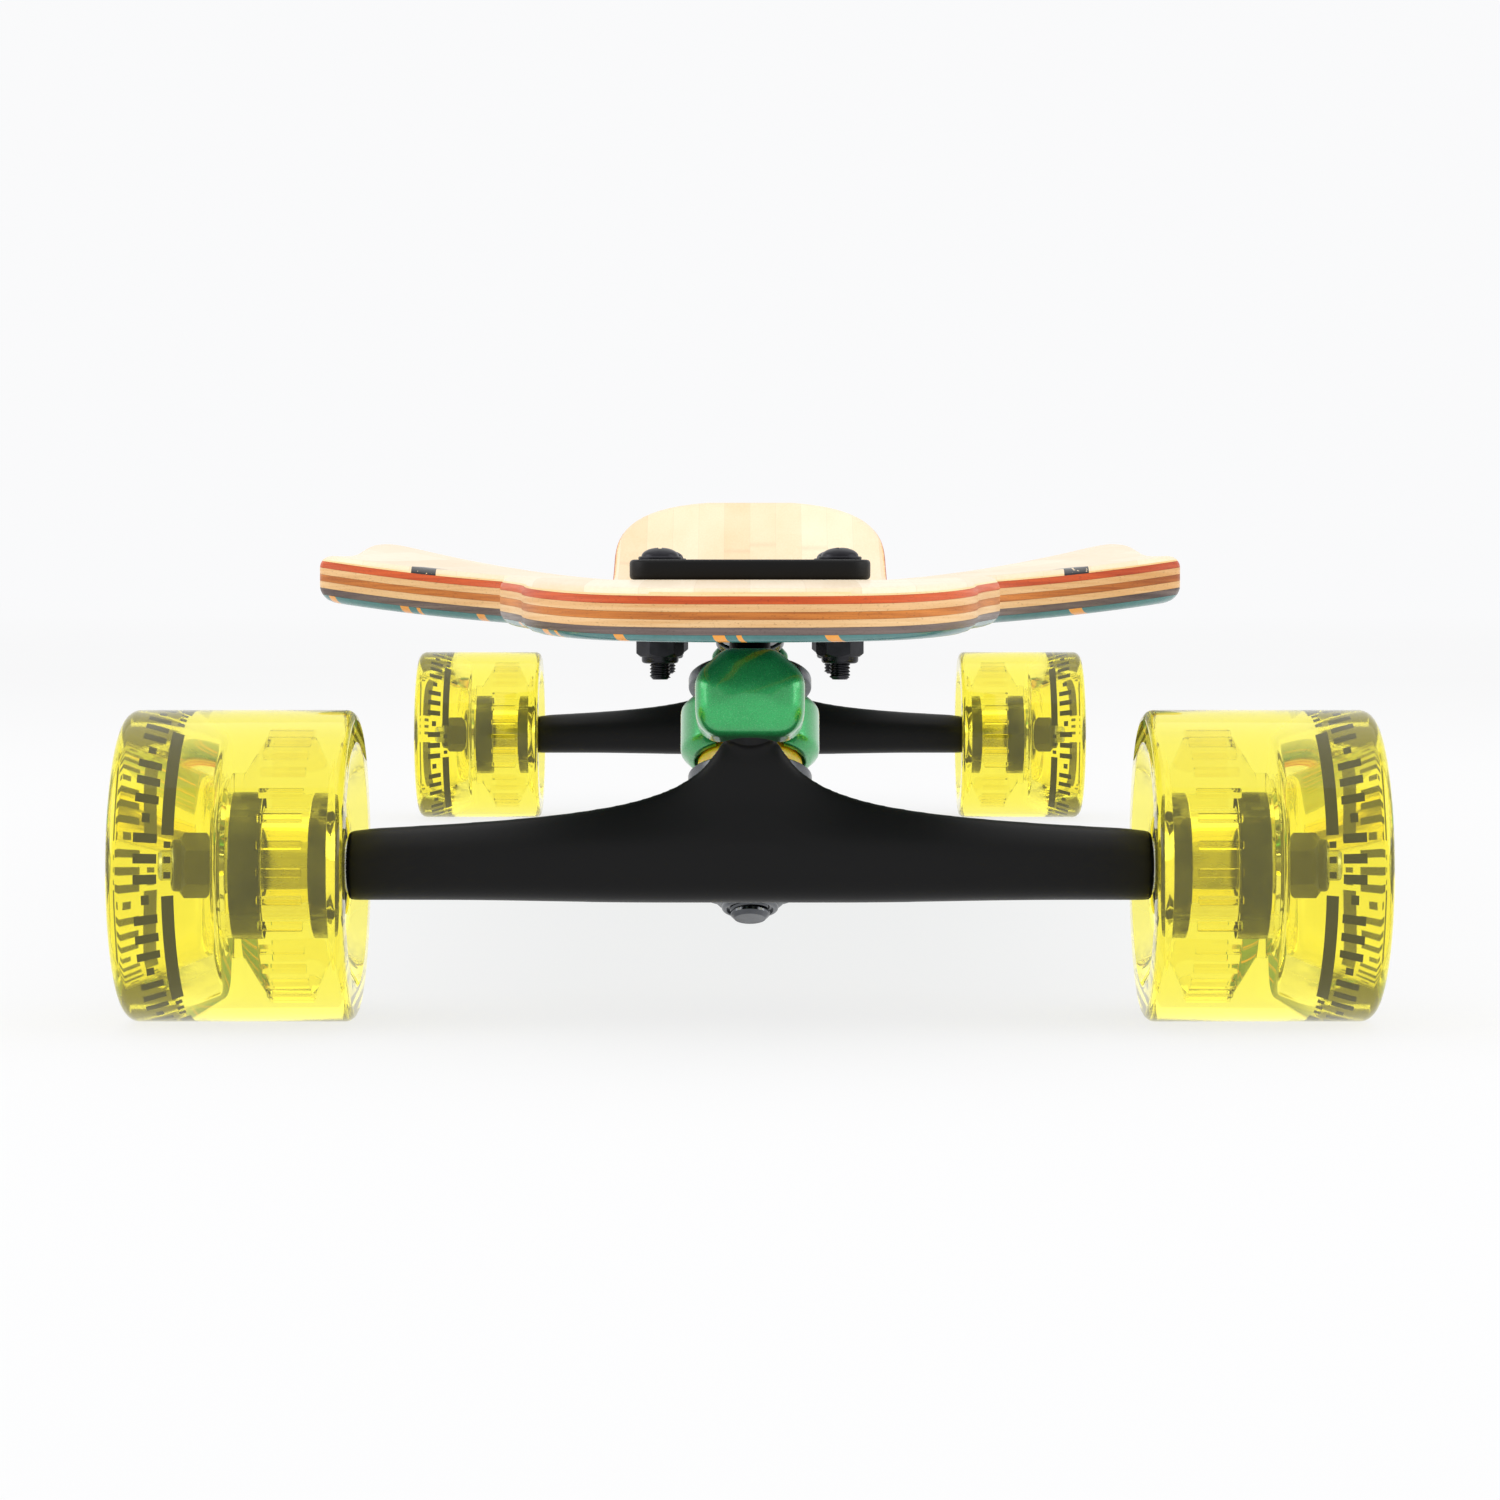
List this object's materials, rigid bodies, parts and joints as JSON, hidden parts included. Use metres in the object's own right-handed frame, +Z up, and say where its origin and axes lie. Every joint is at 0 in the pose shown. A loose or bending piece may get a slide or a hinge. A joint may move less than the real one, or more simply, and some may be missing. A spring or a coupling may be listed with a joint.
{
  "type": "skateboard",
  "caption": "Drop-through longboard: layered deck with a raised tail, leaning double-pivot trucks and soft wheels that spin.",
  "frame": {"origin": "on the floor, below the middle of the whole board", "axes": "+Z up; the nose points to -Y and the raised tail to +Y; +X to the right when seen from the nose, towards the tail"},
  "size_m": [0.2796, 1.007, 0.1372],
  "materials": {
    "bamboo_veneer": "clear satin lacquer over pale bamboo",
    "red_ply": "dyed veneer edge, satin",
    "light_ply": "plain maple edge, satin",
    "brown_ply": "dyed veneer edge, satin",
    "grey_ply": "dark dyed veneer edge, satin",
    "teal_veneer": "teal stain with thin orange stripes, satin",
    "black_casting": "satin black powder coat",
    "green_casting": "metallic green anodised look",
    "black_steel": "black oxide",
    "bright_steel": "zinc-plated steel",
    "dark_steel": "dull zinc-plated steel",
    "yellow_urethane": "soft translucent urethane",
    "wheel_urethane": "translucent yellow urethane",
    "core_plastic": "glass-filled nylon",
    "cup_plastic": "white acetal"
  },
  "bodies": {
    "root": {"top_veneer": "bamboo_veneer", "ply_2": "red_ply", "ply_3": "light_ply", "ply_4": "brown_ply", "ply_5": "light_ply", "ply_6": "grey_ply", "bottom_veneer": "teal_veneer", "deck_washers": "dark_steel", "front_baseplate": "black_casting", "front_deck_bolts": "black_steel", "front_deck_nuts": "dark_steel", "front_upper_kingpin": "dark_steel", "front_upper_kingpin_nut": "bright_steel", "front_upper_washers": "bright_steel", "front_upper_bushings": "yellow_urethane", "front_upper_pivot_cup": "cup_plastic", "rear_baseplate": "black_casting", "rear_deck_bolts": "black_steel", "rear_deck_nuts": "dark_steel", "rear_upper_kingpin": "dark_steel", "rear_upper_kingpin_nut": "bright_steel", "rear_upper_washers": "bright_steel", "rear_upper_bushings": "yellow_urethane", "rear_upper_pivot_cup": "cup_plastic"},
    "front_swivel": {"front_link": "green_casting", "front_lower_kingpin": "dark_steel", "front_lower_kingpin_nut": "bright_steel", "front_lower_washers": "bright_steel", "front_lower_bushings": "yellow_urethane", "front_lower_pivot_cup": "cup_plastic"},
    "front_steerer": {"front_hanger": "black_casting", "front_axle": "dark_steel", "front_inner_races": "bright_steel", "front_spacers": "bright_steel", "front_speed_washers": "bright_steel", "front_axle_nuts": "dark_steel"},
    "front_left_wheel": {"front_left_tyre": "wheel_urethane", "front_left_core": "core_plastic", "front_left_bearings": "bright_steel"},
    "front_right_wheel": {"front_right_tyre": "wheel_urethane", "front_right_core": "core_plastic", "front_right_bearings": "bright_steel"},
    "rear_swivel": {"rear_link": "green_casting", "rear_lower_kingpin": "dark_steel", "rear_lower_kingpin_nut": "bright_steel", "rear_lower_washers": "bright_steel", "rear_lower_bushings": "yellow_urethane", "rear_lower_pivot_cup": "cup_plastic"},
    "rear_steerer": {"rear_hanger": "black_casting", "rear_axle": "dark_steel", "rear_inner_races": "bright_steel", "rear_spacers": "bright_steel", "rear_speed_washers": "bright_steel", "rear_axle_nuts": "dark_steel"},
    "rear_left_wheel": {"rear_left_tyre": "wheel_urethane", "rear_left_core": "core_plastic", "rear_left_bearings": "bright_steel"},
    "rear_right_wheel": {"rear_right_tyre": "wheel_urethane", "rear_right_core": "core_plastic", "rear_right_bearings": "bright_steel"}
  },
  "joints": [
    {"name": "front_upper_lean", "type": "hinge", "parent": "root", "child": "front_swivel", "pos_m": [0, -0.40189, 0.06336], "axis": [0, 0.9135, -0.4067], "range_deg": [-12, 12], "stiffness_Nm_per_rad": 28, "deforming": ["front_upper_bushings"]},
    {"name": "front_lower_lean", "type": "hinge", "parent": "front_swivel", "child": "front_steerer", "pos_m": [0, -0.38083, 0.03691], "axis": [0, 0.8466, -0.5322], "range_deg": [-14, 14], "stiffness_Nm_per_rad": 20, "deforming": ["front_lower_bushings"]},
    {"name": "front_left_spin", "type": "hinge", "parent": "front_steerer", "child": "front_left_wheel", "pos_m": [-0.115, -0.42546, 0.035], "axis": [1, 0, 0], "continuous": true},
    {"name": "front_right_spin", "type": "hinge", "parent": "front_steerer", "child": "front_right_wheel", "pos_m": [0.115, -0.42546, 0.035], "axis": [1, 0, 0], "continuous": true},
    {"name": "rear_upper_lean", "type": "hinge", "parent": "root", "child": "rear_swivel", "pos_m": [0, 0.35096, 0.06336], "axis": [0, -0.9135, -0.4067], "range_deg": [-12, 12], "stiffness_Nm_per_rad": 28, "deforming": ["rear_upper_bushings"]},
    {"name": "rear_lower_lean", "type": "hinge", "parent": "rear_swivel", "child": "rear_steerer", "pos_m": [0, 0.3299, 0.03691], "axis": [0, -0.8466, -0.5322], "range_deg": [-14, 14], "stiffness_Nm_per_rad": 20, "deforming": ["rear_lower_bushings"]},
    {"name": "rear_left_spin", "type": "hinge", "parent": "rear_steerer", "child": "rear_left_wheel", "pos_m": [-0.115, 0.37454, 0.035], "axis": [1, 0, 0], "continuous": true},
    {"name": "rear_right_spin", "type": "hinge", "parent": "rear_steerer", "child": "rear_right_wheel", "pos_m": [0.115, 0.37454, 0.035], "axis": [1, 0, 0], "continuous": true}
  ]
}
